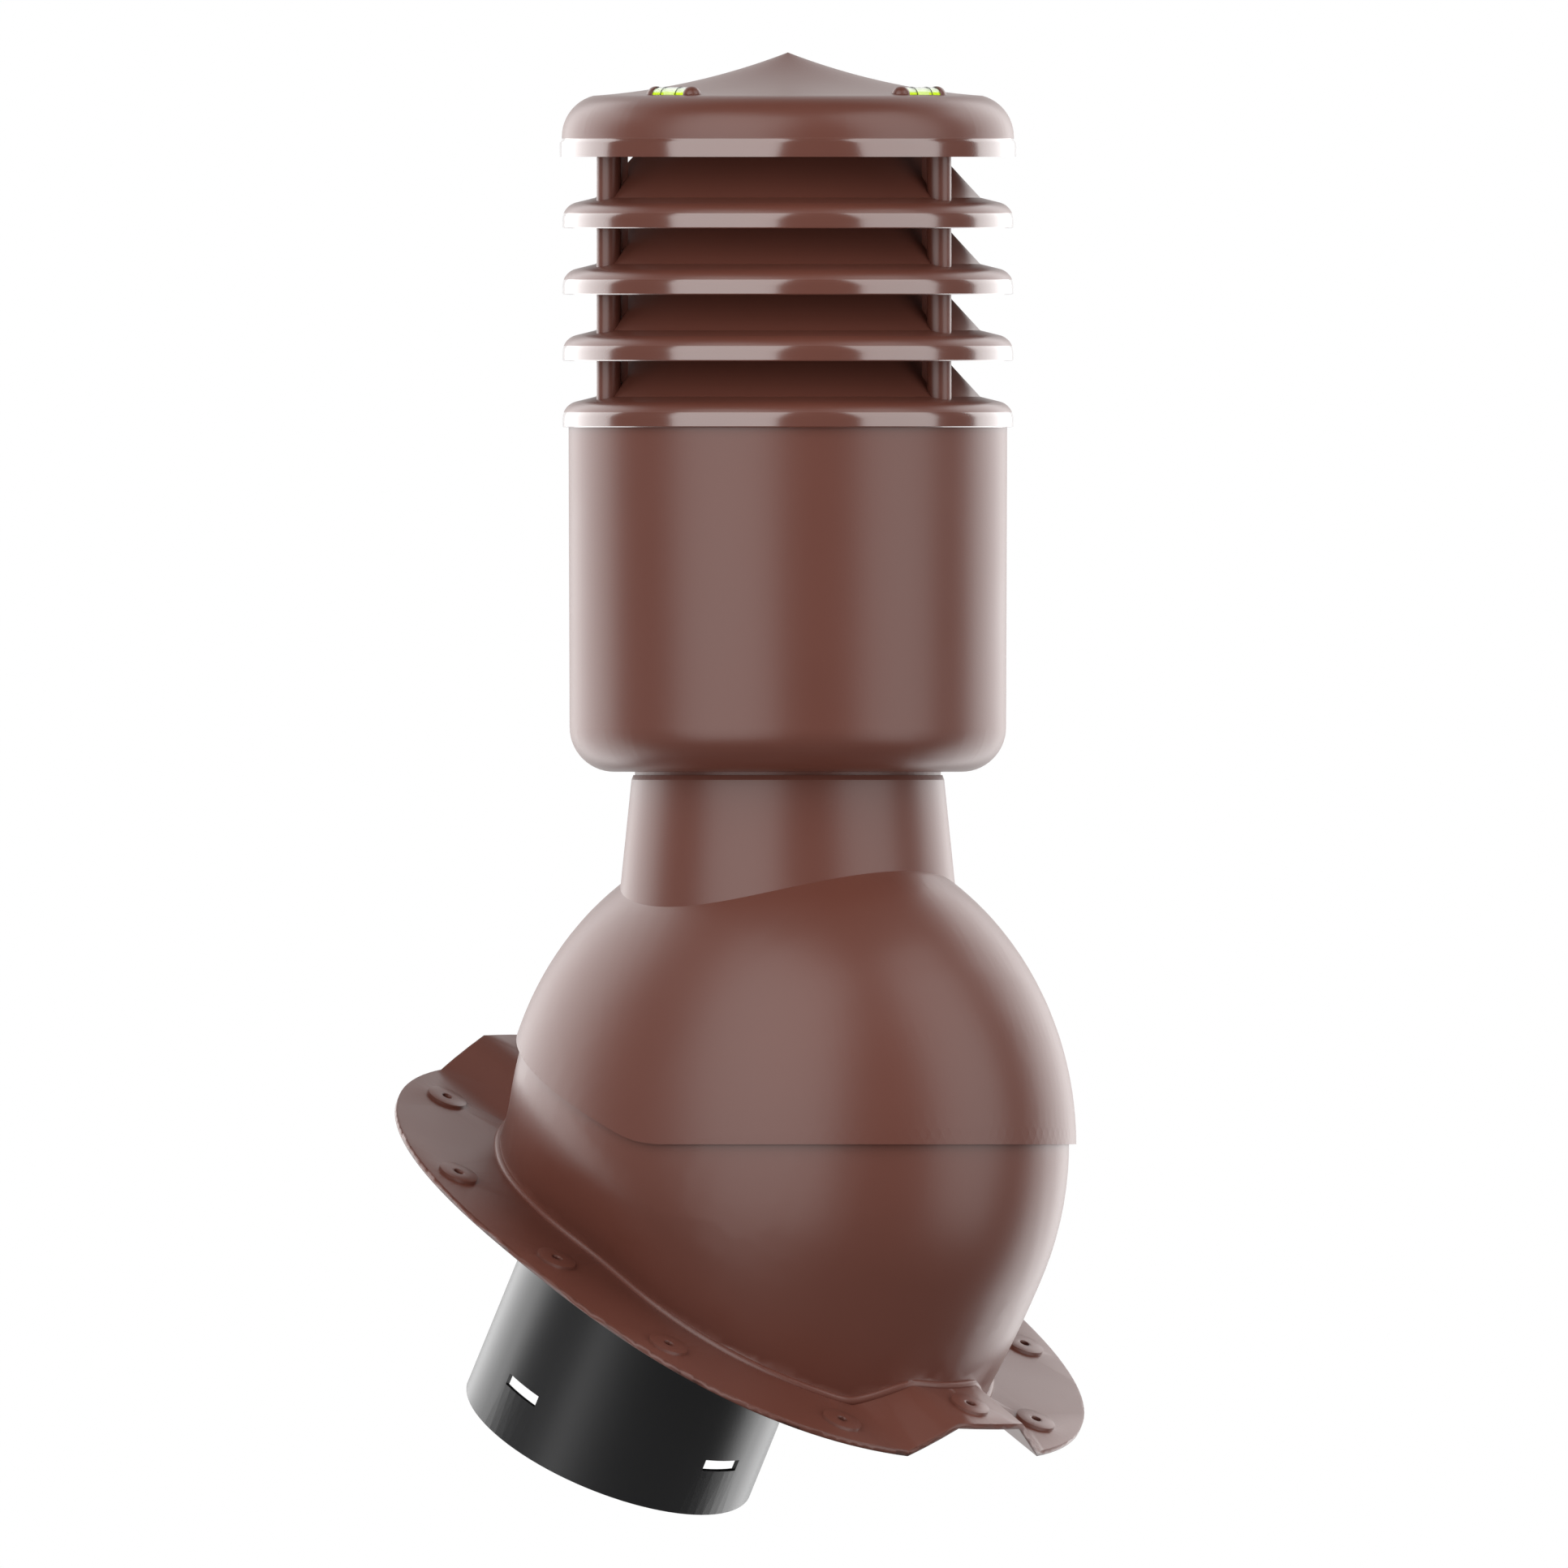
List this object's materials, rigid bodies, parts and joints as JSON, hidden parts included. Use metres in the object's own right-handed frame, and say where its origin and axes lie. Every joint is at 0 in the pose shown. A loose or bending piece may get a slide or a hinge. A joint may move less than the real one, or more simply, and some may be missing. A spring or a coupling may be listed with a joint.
{
  "type": "roof vent",
  "caption": "Insulated roof vent: a louvred stack with level vials on a tilting dome, set on a ribbed flange with a duct spigot below.",
  "frame": {"origin": "centre of the roof seat, on the underside of the base flange, in the plane of the roof sheet's valleys", "axes": "+Z plumb, up the stack; +X level and downhill, +Y level and across the slope; the roof falls 30 degrees towards +X"},
  "size_m": [0.3549, 0.2992, 0.7209],
  "materials": {
    "brown_plastic": "satin chocolate brown, fine grain",
    "black_plastic": "satin black",
    "seal_rubber": "matt",
    "foam": "rigid foam",
    "steel": "zinc plated",
    "washer_plastic": "smooth",
    "vial_glass": "clear",
    "level_fluid": "clear yellow-green"
  },
  "bodies": {
    "base": {"roof_base": "brown_plastic", "duct_spigot": "black_plastic", "chamber_side": "black_plastic", "chamber_screws": "steel", "plate_screws": "steel", "pivot_bolts": "steel", "pivot_nuts": "steel", "friction_washers": "washer_plastic"},
    "stack": {"dome_cover": "brown_plastic", "swivel_drum": "black_plastic", "pipe_seal": "seal_rubber", "inner_pipe": "brown_plastic", "housing": "brown_plastic", "insulation": "foam", "louvre_ring_1": "brown_plastic", "louvre_ring_2": "brown_plastic", "louvre_ring_3": "brown_plastic", "louvre_ring_4": "brown_plastic", "tie_screws": "steel", "cap": "brown_plastic", "level_tube_x": "vial_glass", "level_tube_y": "vial_glass", "level_fluid_x": "level_fluid", "level_fluid_y": "level_fluid"}
  },
  "joints": [
    {"name": "tilt", "type": "hinge", "parent": "base", "child": "stack", "pos_m": [0.03445, 0, 0.05967], "axis": [0, 1, 0], "range_deg": [-10, 20]}
  ]
}
